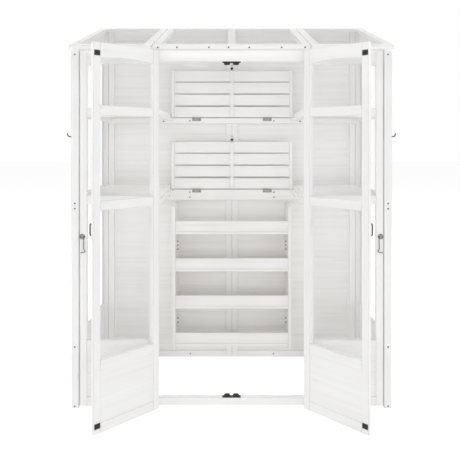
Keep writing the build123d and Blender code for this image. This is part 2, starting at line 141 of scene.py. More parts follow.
class GreenhouseTimber(bpy.types.PropertyGroup):
    """Sections and levels of the timber."""

    stile_width: length("Stile width", "Width of the uprights of panels and doors", 0.036)
    rail_height: length("Rail height", "Height of the rails between lights", 0.045)
    bottom_rail: length("Bottom rail", "Height of the lowest rail", 0.048)
    head_rail: length("Head rail", "Height of the head rail at its middle", 0.062)
    arch_rise: length("Arch rise", "Rise of the head rail's arched lower edge", 0.011)
    dado_top: length("Dado top", "Height of the lights' sill", 0.345)
    dado_rail: length("Dado rail", "Height of the rail under the lights", 0.050)
    lower_rail_top: length("Lower rail", "Top of the lower rail and shelf", 1.083)
    upper_rail_top: length("Upper rail", "Top of the upper rail and shelf", 1.528)
    back_stile: length("Back stile", "Width of the back wall's stiles", 0.038)
    back_top_rail: length("Back top rail", "Height of the back wall's top rail", 0.060)
    back_bottom_rail: length("Back bottom rail", "Height of the back wall's bottom rail", 0.039)
    back_edge: length("Back edge", "Width of the side walls' slim back stile", 0.012)
    roof_bar: length("Roof bar", "Width of the roof's rails and rafters", 0.042)
    roof_pitch: FloatProperty(
        name="Roof pitch", description="Slope of the roof", default=math.radians(17.5), subtype="ANGLE"
    )
    board_pitch: length("Dado board", "Height of each dado board", 0.066)
    back_board_pitch: length("Back board", "Height of each back wall board", 0.098)
    board_thickness: length("Board thickness", "Thickness of the infill boards", 0.012)
    board_edge: length("Board edge", "Rounding that draws the joint between two boards", 0.0011)
    door_board_edge: length("Door board edge", "Rounding of the doors' close-set boards", 0.00015)
    slat_width: length("Slat width", "Width of the shelf slats", 0.065)
    shelf_lip: length("Shelf lip", "Thickness of the strip over the slats' inner ends", 0.003)
    shelf_slats: count("Shelf slats", "Slats of a side shelf", 8)
    shelf_bearer: length("Shelf bearer", "Width of a side shelf's bearers", 0.024)
    ledge_width: length("Ledge width", "Width of the ledge that a lowered leaf rests on", 0.020)
    ledge_drop: length("Ledge drop", "How far the ledge lies under the folded leaf's foot", 0.005)
    slat_inset: length("Slat inset", "How far the slats stay off the side wall", 0.005)
    leaf_slats: count("Leaf slats", "Slats of a leaf", 4)
    leaf_slat: length("Leaf slat", "Width of the leaves' slats", 0.0677)
    slat_thickness: length("Slat thickness", "Thickness of the shelf slats", 0.009)
    bearer_width: length("Bearer width", "Width of the leaves' bearers", 0.020)
    middle_bearer: length("Middle bearer", "Width of the leaves' middle bearer", 0.026)
    leaf_recess: length("Leaf recess", "How far the leaves' bottom slat lies behind the bearers", 0.004)
    tray_board: length("Tray board", "Thickness of a tray's bottom", 0.015)
    tray_lip: length("Tray lip", "Thickness of a tray's front lip", 0.012)
    tray_setback: length("Tray setback", "How far a tray's lip stands behind its front edge", 0.003)
    rack_board: length("Rack board", "Thickness of the rack's sides", 0.022)
    edge: length("Eased edge", "Rounding along the timber's edges", 0.0016)
    post_gap: length("Post gap", "Open line between a front post and its panel", 0.0035)
    seam_edge: length("Seam edge", "Rounding that draws the back wall's upright seams", 0.0030)
    roof_seam: length("Roof seam", "Half the added open line between two roof sections", 0.003)
    joint: length("Joint line", "Open line where a rail meets a stile", 0.0004)


class GreenhouseFittings(bpy.types.PropertyGroup):
    """Sizes of screws, hooks and catches."""

    screw_radius: length("Screw radius", "Radius of a screw's head", 0.0042)
    screw_height: length("Screw height", "How far a screw's head stands proud", 0.0009)
    wire_radius: length("Hook wire", "Radius of the hooks' wire", 0.0018)
    pull_radius: length("Pull wire", "Radius of the door pulls' rod", 0.0035)
    peg_radius: length("Peg radius", "Radius of the rack's tray pegs", 0.0034)
    peg_height: length("Peg height", "How far a tray peg stands out of the rack's side", 0.0080)
    hinge_screw: length("Hinge screw", "Radius of the hinges' screws", 0.0026)
    sheet_thickness: length("Sheet thickness", "Thickness of a clear sheet, less its seating", 0.0035)
    hinge_plate: length("Hinge plate", "Thickness of a hinge's plates", 0.0015)
    wire_steps: count("Wire steps", "Fineness of a round wire's section", 4)


class GreenhouseFinishes(bpy.types.PropertyGroup):
    """Colours of the finishes."""

    paint: colour("Paint", "White paint", (0.945, 0.944, 0.942, 1.0))
    wash: colour("Wash", "Thinner paint on the boards inside", (0.942, 0.938, 0.930, 1.0))
    knot: colour("Knot", "Warm stain over knots", (0.70, 0.655, 0.60, 1.0))
    sheet: colour("Sheet", "Clear sheet", (0.88, 0.89, 0.89, 1.0))
    # The roof sheet's grey is painted shade: it stands for the reflection at a slant and the shaded room
    # seen through the sheet
    roof_sheet: colour("Roof sheet", "Clear sheet of the roof, greyed by dust", (0.42, 0.415, 0.41, 1.0))
    zinc: colour("Zinc", "Zinc-plated steel", (0.50, 0.485, 0.465, 1.0))
    dark_steel: colour("Dark steel", "Browned steel of pulls and hooks", (0.075, 0.068, 0.062, 1.0))
    hinge: colour("Hinge", "Dull hinge metal", (0.52, 0.48, 0.44, 1.0))
    black: colour("Black", "Black plastic", (0.012, 0.012, 0.013, 1.0))
    sheet_alpha: FloatProperty(
        name="Sheet body", description="How much of a clear sheet shows", default=0.012, subtype="FACTOR"
    )
    # How strongly that painted shade shows over the roof's open fields
    painted_shade_alpha: FloatProperty(
        name="Roof dust", description="How much of the roof's sheet shows", default=0.10, subtype="FACTOR"
    )
    floor: colour("Floor", "Studio floor", (0.86, 0.86, 0.86, 1.0))


def timber():
    return bpy.context.scene.greenhouse_timber


def fittings():
    return bpy.context.scene.greenhouse_fittings


def finishes():
    return bpy.context.scene.greenhouse_finishes


# Planes to draw on: local x and y lie in the plane, local z leaves it
def front_place(x, y):
    """The front's plane: x to the right, y up, z out of the front."""
    return Matrix(((1, 0, 0, x), (0, 0, -1, y), (0, 1, 0, 0), (0, 0, 0, 1)))


def side_place(x):
    """A plane across the house: x towards the back, y up, z to the right."""
    return Matrix(((0, 0, 1, x), (1, 0, 0, 0), (0, 1, 0, 0), (0, 0, 0, 1)))


def roof_place():
    """The roof's underside: x to the right, y up the slope, z out of the roof."""
    turn = Matrix.Rotation(timber().roof_pitch, 4, "X")
    verts = [turn.inverted() @ v.co for v in frame["nodes"]["left_roof_section"].data.vertices]
    start = Vector((0, min(v.y for v in verts), min(v.z for v in verts)))
    return Matrix.Translation(turn @ start) @ turn


def door_place(side):
    """A door's plane at rest: x from the pin to the free edge, y up, z out of its outer face."""
    joint = next(j for j in frame["joints"] if j["name"] == side + "_door_swing")
    sign = SIDES[side]
    across = math.sqrt(0.5)
    x, y = joint["pos_m"][0], joint["pos_m"][1]
    return Matrix(
        ((sign * across, 0, sign * across, x), (-across, 0, across, y), (0, 1, 0, 0), (0, 0, 0, 1))
    )


def span_in(node, place):
    """Lowest and highest corner of a node in a plane's own axes."""
    back = place.inverted()
    corners = [back @ v.co for v in frame["nodes"][node].data.vertices]
    low = Vector([min(c[i] for c in corners) for i in range(3)])
    high = Vector([max(c[i] for c in corners) for i in range(3)])
    return low, high


def rectangle(x0, y0, x1, y1):
    return [(x0, y0), (x1, y0), (x1, y1), (x0, y1)]


def prism(outline, span, edge, segments=EASING_STEPS):
    """An outline drawn out along z, with eased edges."""
    bm = bmesh.new()
    under, over = ([bm.verts.new((x, y, z)) for x, y in outline] for z in span)
    bm.faces.new(under[::-1])
    bm.faces.new(over)
    for i in range(len(outline)):
        j = (i + 1) % len(outline)
        bm.faces.new((under[i], under[j], over[j], over[i]))
    bmesh.ops.recalc_face_normals(bm, faces=bm.faces[:])
    keen = [e for e in bm.edges if e.calc_face_angle(0.0) > KEEN_ANGLE]
    bmesh.ops.bevel(
        bm, geom=keen, offset=edge, segments=segments, profile=0.5, affect="EDGES", clamp_overlap=True
    )
    return bm


class Timbers:
    """Planks gathered into one mesh, each with its own run of grain and its own tone."""

    def __init__(self, seed):
        self.verts, self.faces, self.grain, self.tone = [], [], [], []
        self.draw = random.Random(seed)

    def add(self, place, points, rings):
        """Takes in points and faces, turned about where the place mirrors them."""
        start = len(self.verts)
        flip = place.determinant() < 0
        self.verts.extend(place @ point for point in points)
        for ring in rings:
            moved = [start + i for i in ring]
            self.faces.append(moved[::-1] if flip else moved)

    def plank(self, outline, span, place, along="x", edge=None):
        """A prism on the outline with eased edges, and its grain along x, y or z."""
        bm = prism(outline, span, edge or timber().edge)
        order = {"x": (0, 1, 2), "y": (1, 0, 2), "z": (2, 0, 1)}[along]
        shift = Vector([self.draw.uniform(0.0, GRAIN_SHIFT) for _ in range(3)])
        tone = self.draw.random()
        bm.verts.index_update()
        points = [vert.co for vert in bm.verts]
        self.add(place, points, [[vert.index for vert in face.verts] for face in bm.faces])
        self.grain.extend(Vector([point[i] for i in order]) + shift for point in points)
        self.tone.extend(tone for _ in points)
        bm.free()

    def bar(self, low, high, along="x"):
        """A plank between two corners of the house's own axes."""
        self.plank(rectangle(low.x, low.y, high.x, high.y), (low.z, high.z), Matrix(), along)

    def grown(self, mesh, place):
        """Adds a mesh that a node tree grew, which carries its own grain and tone."""
        self.add(place, [v.co for v in mesh.vertices], [p.vertices for p in mesh.polygons])
        self.grain.extend(Vector(d.vector) for d in mesh.attributes["grain"].data)
        self.tone.extend(d.value for d in mesh.attributes["tone"].data)
        bpy.data.meshes.remove(mesh)

    def build(self, name, body, nodes, material=None):
        """The finished piece, which stands for the nodes and rides on the body."""
        mesh = bpy.data.meshes.new(name)
        mesh.from_pydata([v[:] for v in self.verts], [], self.faces)
        grain = mesh.attributes.new("grain", "FLOAT_VECTOR", "POINT")
        grain.data.foreach_set("vector", [c for v in self.grain for c in v])
        tone = mesh.attributes.new("tone", "FLOAT", "POINT")
        tone.data.foreach_set("value", self.tone)
        # Faces of eased edges are marked so that the paint darkens there: thin paint at the edges, and
        # painted shade in the grooves between boards
        edge = mesh.attributes.new("edge", "FLOAT", "FACE")
        edge.data.foreach_set("value", [float(narrow(mesh, face)) for face in mesh.polygons])
        mesh.materials.append(material or painted_wood())
        return settle(name, mesh, body, nodes)


def narrow(mesh, face):
    """Whether a face is part of an eased edge."""
    ring = [mesh.vertices[i].co for i in face.vertices]
    return min((a - b).length for a, b in zip(ring, ring[1:] + ring[:1])) < timber().seam_edge


def settle(name, mesh, body, nodes):
    """Links a finished mesh as a piece of the object."""
    mesh.update()
    piece = bpy.data.objects.new(name, mesh)
    bpy.context.scene.collection.objects.link(piece)
    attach(piece, body)
    if nodes:
        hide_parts(*nodes)
    return piece


# Node trees
def node(tree, kind, inputs=None, **settings):
    """Adds a node with its settings, values and links."""
    made = tree.nodes.new(kind)
    for key, value in settings.items():
        setattr(made, key, value)
    for key, value in (inputs or {}).items():
        if isinstance(value, bpy.types.NodeSocket):
            tree.links.new(value, made.inputs[key])
        else:
            made.inputs[key].default_value = value
    return made


def result(tree, kind, inputs=None, **settings):
    """The first output of a new node."""
    return node(tree, kind, inputs, **settings).outputs[0]


def worked(tree, operation, first, second):
    """Two values put together by one operation."""
    return result(tree, "ShaderNodeMath", {0: first, 1: second}, operation=operation)


def ranged(tree, value, low, high, start=0.0, end=1.0):
    """A value between start and end, carried to between low and high."""
    limits = {"From Min": start, "From Max": end, "To Min": low, "To Max": high}
    return result(tree, "ShaderNodeMapRange", {"Value": value, **limits})


def vector(tree, **axes):
    return result(tree, "ShaderNodeCombineXYZ", axes)


def stored(tree, geometry, name, value, kind, domain):
    """Geometry with a named attribute written on it."""
    inputs = {"Geometry": geometry, "Name": name, "Value": value}
    return result(tree, "GeometryNodeStoreNamedAttribute", inputs, data_type=kind, domain=domain)


def named(tree, name, kind):
    return result(tree, "GeometryNodeInputNamedAttribute", {"Name": name}, data_type=kind)


def joined(tree, *parts):
    both = node(tree, "GeometryNodeJoinGeometry")
    for part in parts:
        tree.links.new(part, both.inputs[0])
    return both.outputs[0]


def node_group(name, kind, inputs, outputs):
    """An empty node group with named inputs and outputs."""
    tree = bpy.data.node_groups.new(name, kind)
    for way, sockets in (("OUTPUT", outputs), ("INPUT", inputs)):
        for label, socket in sockets.items():
            tree.interface.new_socket(label, in_out=way, socket_type="NodeSocket" + socket)
    return tree


def grow(tree, values, mesh=None):
    """Runs a tree on a carrier and returns its result as a plain mesh."""
    carrier = bpy.data.objects.new("carrier", mesh or bpy.data.meshes.new("carrier"))
    bpy.context.scene.collection.objects.link(carrier)
    modifier = carrier.modifiers.new("grow", "NODES")
    modifier.node_group = tree
    for item in tree.interface.items_tree:
        if item.in_out == "INPUT" and item.name in values:
            modifier[item.identifier] = values[item.name]
    bpy.context.view_layer.update()
    depsgraph = bpy.context.evaluated_depsgraph_get()
    grown = bpy.data.meshes.new_from_object(
        carrier.evaluated_get(depsgraph), preserve_all_data_layers=True, depsgraph=depsgraph
    )
    carrier.modifiers.remove(modifier)
    bpy.data.objects.remove(carrier)
    return grown


def board_row_tree():
    """Like boards side by side: lengths along x, repeated along y, eased on their long edges."""
    found = bpy.data.node_groups.get("Board row")
    if found:
        return found
    sizes = {label: "Float" for label in ("Pitch", "Length", "Width", "Thickness", "Edge")}
    inputs = {"Count": "Int", **sizes, "Seed": "Int", "Finish": "Material"}
    tree = node_group("Board row", "GeometryNodeTree", inputs, {"Geometry": "Geometry"})
    given = node(tree, "NodeGroupInput").outputs
    half = worked(tree, "MULTIPLY", given["Length"], 0.5)
    start = worked(tree, "MULTIPLY", half, -1.0)
    ends = {"Start": vector(tree, X=start), "End": vector(tree, X=half)}
    run = result(tree, "GeometryNodeCurvePrimitiveLine", ends)
    sides = {"Width": given["Width"], "Height": given["Thickness"]}
    section = result(tree, "GeometryNodeCurvePrimitiveQuadrilateral", sides)
    corners = {"Curve": section, "Radius": given["Edge"], "Count": EASING_STEPS}
    eased = result(tree, "GeometryNodeFilletCurve", corners, mode="POLY")
    sweep = {"Curve": run, "Profile Curve": eased, "Fill Caps": True}
    board = result(tree, "GeometryNodeCurveToMesh", sweep)
    place = result(tree, "GeometryNodeInputPosition")
    marked = stored(tree, board, "grain", place, "FLOAT_VECTOR", "POINT")
    steps = {"Count": given["Count"], "Offset": vector(tree, Y=given["Pitch"])}
    points = result(tree, "GeometryNodeMeshLine", steps, mode="OFFSET")
    row = result(tree, "GeometryNodeInstanceOnPoints", {"Points": points, "Instance": marked})
    reach = {0: (0.0, 0.0, 0.0), 1: (GRAIN_SHIFT, GRAIN_SHIFT, GRAIN_SHIFT), "Seed": given["Seed"]}
    shift = result(tree, "FunctionNodeRandomValue", reach, data_type="FLOAT_VECTOR")
    tone = node(tree, "FunctionNodeRandomValue", {"Seed": given["Seed"]}, data_type="FLOAT").outputs[1]
    shifted = stored(tree, row, "shift", shift, "FLOAT_VECTOR", "INSTANCE")
    toned = stored(tree, shifted, "tone", tone, "FLOAT", "INSTANCE")
    real = result(tree, "GeometryNodeRealizeInstances", {"Geometry": toned})
    own = {0: named(tree, "grain", "FLOAT_VECTOR"), 1: named(tree, "shift", "FLOAT_VECTOR")}
    total = result(tree, "ShaderNodeVectorMath", own, operation="ADD")
    grained = stored(tree, real, "grain", total, "FLOAT_VECTOR", "POINT")
    finished = result(tree, "GeometryNodeSetMaterial", {"Geometry": grained, "Material": given["Finish"]})
    node(tree, "NodeGroupOutput", {0: finished})
    return tree


def board_row(count, pitch, run, width, thickness, seed, edge=None):
    """A row of boards, lying in the x-y plane from y = 0, centred on x and on its thickness."""
    return grow(
        board_row_tree(),
        {
            "Count": count,
            "Pitch": pitch,
            "Length": run,
            "Width": width,
            "Thickness": thickness,
            "Edge": edge or timber().edge,
            "Seed": seed,
            "Finish": painted_wood(),
        },
    )


def screw_tree():
    """A cross-headed screw on each point, facing the way its point does, its raised cross black as
    painted shade in the head's recess.
    """
    found = bpy.data.node_groups.get("Screws")
    if found:
        return found
    sizes = {"Radius": "Float", "Height": "Float"}
    inputs = {"Points": "Geometry", **sizes, "Metal": "Material", "Recess": "Material"}
    tree = node_group("Screws", "GeometryNodeTree", inputs, {"Geometry": "Geometry"})
    given = node(tree, "NodeGroupInput").outputs
    radius, height = given["Radius"], given["Height"]
    sides, crown_share, slot_share, bar_share, lift_share = 16, 0.72, 0.95, 0.26, 0.56
    crown = worked(tree, "MULTIPLY", radius, crown_share)
    cone = {"Vertices": sides, "Radius Bottom": radius, "Radius Top": crown, "Depth": height}
    head = result(tree, "GeometryNodeMeshCone", cone)
    slot_length = worked(tree, "MULTIPLY", radius, slot_share)
    slot_width = worked(tree, "MULTIPLY", radius, bar_share)
    bar = result(
        tree, "GeometryNodeMeshCube", {"Size": vector(tree, X=slot_length, Y=slot_width, Z=height)}
    )
    lift = vector(tree, Z=worked(tree, "MULTIPLY", height, lift_share))
    first = result(tree, "GeometryNodeTransform", {"Geometry": bar, "Translation": lift})
    turned = {"Geometry": first, "Rotation": (0.0, 0.0, math.pi / 2)}
    second = result(tree, "GeometryNodeTransform", turned)
    # The cross is black: painted shade that stands for the shadow in the head's cross recess
    sunk = stored(tree, joined(tree, first, second), "recess", True, "BOOLEAN", "FACE")
    screw = joined(tree, head, sunk)
    way = {"Vector": named(tree, "out", "FLOAT_VECTOR")}
    facing = result(tree, "FunctionNodeAlignRotationToVector", way, axis="Z")
    spots = {"Points": given["Points"], "Instance": screw, "Rotation": facing}
    placed = result(tree, "GeometryNodeInstanceOnPoints", spots)
    real = result(tree, "GeometryNodeRealizeInstances", {"Geometry": placed})
    shiny = result(tree, "GeometryNodeSetMaterial", {"Geometry": real, "Material": given["Metal"]})
    recess = {"Selection": named(tree, "recess", "BOOLEAN"), "Material": given["Recess"]}
    finished = result(tree, "GeometryNodeSetMaterial", {"Geometry": shiny, **recess})
    node(tree, "NodeGroupOutput", {0: finished})
    return tree


def screws(name, body, spots, radius=None, height=None):
    """Screws at (point, direction) spots, as one piece on a body."""
    mesh = bpy.data.meshes.new(name + "_points")
    mesh.from_pydata([tuple(point) for point, _ in spots], [], [])
    out = mesh.attributes.new("out", "FLOAT_VECTOR", "POINT")
    out.data.foreach_set("vector", [c for _, way in spots for c in way])
    grown = grow(
        screw_tree(),
        {
            "Radius": radius or fittings().screw_radius,
            "Height": height or fittings().screw_height,
            "Metal": dark_steel(),
            # Black in the screws' cross recess is painted shade
            "Recess": black_plastic_and_recess_shade(),
        },
        mesh,
    )
    return settle(name, grown, body, [])


# Shader groups and materials
def noise(tree, place, stretch, detail):
    """Noise drawn out along a grain."""
    drawn = result(tree, "ShaderNodeVectorMath", {0: place, 1: stretch}, operation="MULTIPLY")
    return result(tree, "ShaderNodeTexNoise", {"Vector": drawn, "Scale": 1.0, "Detail": detail})


def mixed(tree, share, first, second):
    """A colour between two."""
    return node(tree, "ShaderNodeMix", {0: share, 6: first, 7: second}, data_type="RGBA").outputs[2]


SURFACE = {"Color": "Color", "Roughness": "Float", "Height": "Float"}


def painted_grain_group():
    """Softwood grain and knots that show faintly through paint."""
    found = bpy.data.node_groups.get("Painted grain")
    if found:
        return found
    values = {"Tone": "Float", "Edge": "Float", "Strength": "Float"}
    inputs = {"Grain": "Vector", **values, "Paint": "Color", "Knot": "Color"}
    tree = node_group("Painted grain", "ShaderNodeTree", inputs, SURFACE)
    given = node(tree, "NodeGroupInput").outputs
    ring_stretch, brush_stretch, knot_stretch = (1.6, 46.0, 46.0), (9.0, 420.0, 420.0), (4.5, 8.0, 8.0)
    line_depth, tone_depth, knot_depth, edge_depth = 0.16, 0.05, 0.35, 0.9
    knot_draw = 0.6
    ring_relief, brush_relief = 0.6, 0.4
    rings = noise(tree, given["Grain"], ring_stretch, 4.0)
    brush = noise(tree, given["Grain"], brush_stretch, 2.0)
    drawn = result(
        tree, "ShaderNodeVectorMath", {0: given["Grain"], 1: knot_stretch}, operation="MULTIPLY"
    )
    spots = node(tree, "ShaderNodeTexVoronoi", {"Vector": drawn, "Scale": 1.0}, feature="F1").outputs
    knots = ranged(tree, spots["Distance"], 1.0, 0.0, 0.04, 0.09)
    lines = ranged(tree, rings, 0.0, line_depth, 0.42, 0.72)
    toned = ranged(tree, given["Tone"], 0.0, tone_depth)
    draw = node(tree, "ShaderNodeSeparateColor", {"Color": spots["Color"]}).outputs["Red"]
    few = worked(tree, "GREATER_THAN", draw, knot_draw)
    soft = worked(tree, "MULTIPLY", worked(tree, "MULTIPLY", knots, few), knot_depth)
    marked = worked(tree, "ADD", worked(tree, "ADD", lines, toned), soft)
    shown = worked(tree, "MULTIPLY", marked, given["Strength"])
    # Eased edges darken towards the knot colour: partly thin paint, partly painted shade in the grooves
    # between boards
    thin = worked(tree, "MULTIPLY", worked(tree, "MULTIPLY", given["Edge"], rings), edge_depth)
    tinted = mixed(tree, worked(tree, "ADD", shown, thin), given["Paint"], given["Knot"])
    rough = ranged(tree, brush, 0.38, 0.56)
    ridge = worked(tree, "MULTIPLY", rings, ring_relief)
    stroke = worked(tree, "MULTIPLY", brush, brush_relief)
    relief = worked(tree, "ADD", ridge, stroke)
    node(tree, "NodeGroupOutput", {"Color": tinted, "Roughness": rough, "Height": relief})
    return tree


def mottle_group():
    """Slow and fine mottling that metals, plastic and sheet share."""
    found = bpy.data.node_groups.get("Mottle")
    if found:
        return found
    values = {"Depth": "Float", "Smooth": "Float", "Rough": "Float"}
    inputs = {"Vector": "Vector", "Colour": "Color", **values}
    tree = node_group("Mottle", "ShaderNodeTree", inputs, SURFACE)
    given = node(tree, "NodeGroupInput").outputs
    slow_scale, fine_scale, grime = 90.0, 900.0, (0.05, 0.045, 0.04, 1.0)
    place = given["Vector"]
    slow = result(tree, "ShaderNodeTexNoise", {"Vector": place, "Scale": slow_scale, "Detail": 3.0})
    fine = result(tree, "ShaderNodeTexNoise", {"Vector": place, "Scale": fine_scale, "Detail": 2.0})
    amount = worked(tree, "MULTIPLY", slow, given["Depth"])
    darker = mixed(tree, amount, given["Colour"], grime)
    rough = ranged(tree, fine, given["Smooth"], given["Rough"])
    node(tree, "NodeGroupOutput", {"Color": darker, "Roughness": rough, "Height": fine})
    return tree


def new_material(name):
    """A new material, with its tree and its shader."""
    material = bpy.data.materials.new(name)
    material.use_nodes = True
    tree = material.node_tree
    return material, tree, tree.nodes["Principled BSDF"]


def dress(tree, shader, group, strength, distance):
    """Puts a group's colour, roughness and relief on a material's shader."""
    tree.links.new(group.outputs["Color"], shader.inputs["Base Color"])
    tree.links.new(group.outputs["Roughness"], shader.inputs["Roughness"])
    if strength:
        relief = {"Height": group.outputs["Height"], "Strength": strength, "Distance": distance}
        tree.links.new(result(tree, "ShaderNodeBump", relief), shader.inputs["Normal"])


def painted(name, paint, strength):
    """Paint over softwood whose grain runs along each plank."""
    found = bpy.data.materials.get(name)
    if found:
        return found
    material, tree, shader = new_material(name)
    values = {"Strength": strength, "Paint": paint, "Knot": finishes().knot}
    for label, output in (("Grain", "Vector"), ("Tone", "Fac"), ("Edge", "Fac")):
        values[label] = node(tree, "ShaderNodeAttribute", attribute_name=label.lower()).outputs[output]
    group = node(tree, "ShaderNodeGroup", values, node_tree=painted_grain_group())
    dress(tree, shader, group, 0.25, 0.0008)
    return material


def painted_wood():
    """White paint over softwood."""
    return painted("painted_wood", finishes().paint, 0.7)


def washed_wood():
    """Thinner paint, through which the boards' grain and knots show."""
    return painted("washed_wood", finishes().wash, 1.3)


def mottling(tree, tint, depth, smooth, rough):
    """Mottling of one tint, on the piece's own coordinates."""
    place = node(tree, "ShaderNodeTexCoord").outputs["Object"]
    values = {"Vector": place, "Colour": tint, "Depth": depth, "Smooth": smooth, "Rough": rough}
    return node(tree, "ShaderNodeGroup", values, node_tree=mottle_group())


def mottled(name, tint, depth, smooth, rough, metallic):
    """A metal or plastic with mottled colour and roughness."""
    found = bpy.data.materials.get(name)
    if found:
        return found
    material, tree, shader = new_material(name)
    dress(tree, shader, mottling(tree, tint, depth, smooth, rough), 0.1, 0.0002)
    shader.inputs["Metallic"].default_value = metallic
    return material


def zinc_steel():
    return mottled("zinc_steel", finishes().zinc, 0.75, 0.28, 0.45, 0.35)


def hinge_metal():
    return mottled("dull_zinc", finishes().hinge, 0.5, 0.4, 0.6, 0.3)


def dark_steel():
    return mottled("dark_steel", finishes().dark_steel, 0.3, 0.3, 0.5, 0.5)


# Black plastic of the catches and strike plates, also used as painted shade in the screws' cross recesses
def black_plastic_and_recess_shade():
    return mottled("black_plastic_and_recess_shade", finishes().black, 0.1, 0.4, 0.55, 0.0)


def painted_plain():
    """White paint on small parts, where no grain shows."""
    return mottled("painted_plain", finishes().paint, 0.04, 0.35, 0.5, 0.0)


def clear_sheet(name, tint):
    """Clear acrylic: see-through, with a faint body and gloss."""
    found = bpy.data.materials.get(name)
    if found:
        return found
    material, tree, shader = new_material(name)
    dress(tree, shader, mottling(tree, tint, 0.02, 0.03, 0.07), 0.0, 0.0)
    shader.inputs["Alpha"].default_value = finishes().sheet_alpha
    shader.inputs["IOR"].default_value = 1.49
    return material


def wall_sheet():
    return clear_sheet("clear_acrylic", finishes().sheet)


def roof_sheet():
    """Clear acrylic greyed over the open fields by painted shade, which stands for reflection and the
    shaded room seen through it.
    """
    material = clear_sheet("roof_acrylic", finishes().roof_sheet)
    tree = material.node_tree
    field = node(tree, "ShaderNodeAttribute", attribute_name="field").outputs["Fac"]
    # Painted shade: more of the grey sheet shows over the open fields than over the bars
    painted_shade = ranged(tree, field, finishes().sheet_alpha, finishes().painted_shade_alpha)
    tree.links.new(painted_shade, tree.nodes["Principled BSDF"].inputs["Alpha"])
    return material


# Panels
def arch(x0, x1, y, rise, steps=14):
    """Points along a shallow arch from x1 back to x0."""
    half, middle = (x1 - x0) / 2, (x0 + x1) / 2
    radius = (half * half + rise * rise) / (2 * rise)
    points = []
    for i in range(steps + 1):
        x = x1 - (x1 - x0) * i / steps
        points.append((x, y + math.sqrt(radius * radius - (x - middle) ** 2) - radius + rise))
    return points


def rail_spans(floor):
    """Foot and top of a panel's straight rails."""
    s = timber()
    return (
        (floor, floor + s.bottom_rail),
        (s.dado_top - s.dado_rail, s.dado_top),
        (s.lower_rail_top - s.rail_height, s.lower_rail_top),
        (s.upper_rail_top - s.rail_height, s.upper_rail_top),
    )


def panel_planks(pile, place, low, high):
    """Stiles and rails of a glazed panel between two corners of its plane."""
    s = timber()
    left, right = low.x + s.stile_width, high.x - s.stile_width
    depth = (low.z, high.z)
    pile.plank(rectangle(low.x, low.y, left, high.y), depth, place, "y")
    pile.plank(rectangle(right, low.y, high.x, high.y), depth, place, "y")
    start, end = left + s.joint, right - s.joint
    for foot, top in rail_spans(low.y):
        pile.plank(rectangle(start, foot, end, top), depth, place, "x")
    spring = high.y - s.head_rail - s.arch_rise
    curve = arch(start, end, spring, s.arch_rise)
    pile.plank([(start, high.y)] + curve[::-1] + [(end, high.y)], depth, place, "x")


def infill(pile, place, x0, x1, foot, top, count, middle, seed, edge):
    """So many horizontal boards within a frame, centred at depth middle."""
    pitch = (top - foot) / count
    run = x1 - x0 + BOARD_OVERLAP
    mesh = board_row(count, pitch, run, pitch, timber().board_thickness, seed, edge)
    start = Matrix.Translation(((x0 + x1) / 2, foot + pitch / 2, middle))
    pile.grown(mesh, place @ start)


def dado_boards(pile, place, left, right, floor, middle, seed, edge):
    """Boards under the lights of a panel."""
    s = timber()
    foot, top = floor + s.bottom_rail, s.dado_top - s.dado_rail
    count = round((top - foot) / s.board_pitch)
    infill(pile, place, left, right, foot, top, count, middle, seed, edge)


def panel_dado(boards, place, low, high, seed, edge):
    """Boards of a panel between two corners of its plane."""
    stile = timber().stile_width
    middle = (low.z + high.z) / 2
    dado_boards(boards, place, low.x + stile, high.x - stile, low.y, middle, seed, edge)


def roof_under(y):
    """Height of the roof's underside at depth y."""
    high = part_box("front_posts")[1]
    return high.z + (y - high.y) * math.tan(timber().roof_pitch)


def under_roof(start, end, foot):
    """An upright outline from a foot to the roof's slope."""
    return [(start, foot), (end, foot), (end, roof_under(end)), (start, roof_under(start))]


class GREENHOUSE_OT_posts(bpy.types.Operator):
    """Corner posts with tops cut to the roof's slope"""

    bl_idname = "greenhouse.posts"
    bl_label = "Posts"

    def execute(self, context):
        pile = Timbers(31)
        for node_name in ("front_posts", "back_posts"):
            low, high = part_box(node_name)
            side = high.y - low.y
            for x in (low.x, high.x - side):
                pile.plank(under_roof(low.y, high.y, 0.0), (0.0, side), side_place(x), "y")
        pile.build("posts", "house", ["front_posts", "back_posts"])
        return {"FINISHED"}


class GREENHOUSE_OT_front(bpy.types.Operator):
    """Glazed front panels, door head and sill"""

    bl_idname = "greenhouse.front"
    bl_label = "Front"

    def execute(self, context):
        s = timber()
        pile = Timbers(11)
        boards = Timbers(12)
        for index, (side, sign) in enumerate(SIDES.items()):
            node_name = side + "_front_panel"
            place = front_place(0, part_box(node_name)[0].y)
            low, high = span_in(node_name, place)
            if sign < 0:
                low.x += s.post_gap
            else:
                high.x -= s.post_gap
            panel_planks(pile, place, low, high)
            panel_dado(boards, place, low, high, 20 + index, s.board_edge)
        pile.build("front_frames", "house", ["left_front_panel", "right_front_panel"])
        boards.build("front_dado_boards", "house", ["front_boards"])
        lintel = Timbers(13)
        for node_name in ("door_head", "door_sill"):
            lintel.bar(*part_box(node_name))
        lintel.build("door_head_and_sill", "house", ["door_head", "door_sill"])
        return {"FINISHED"}


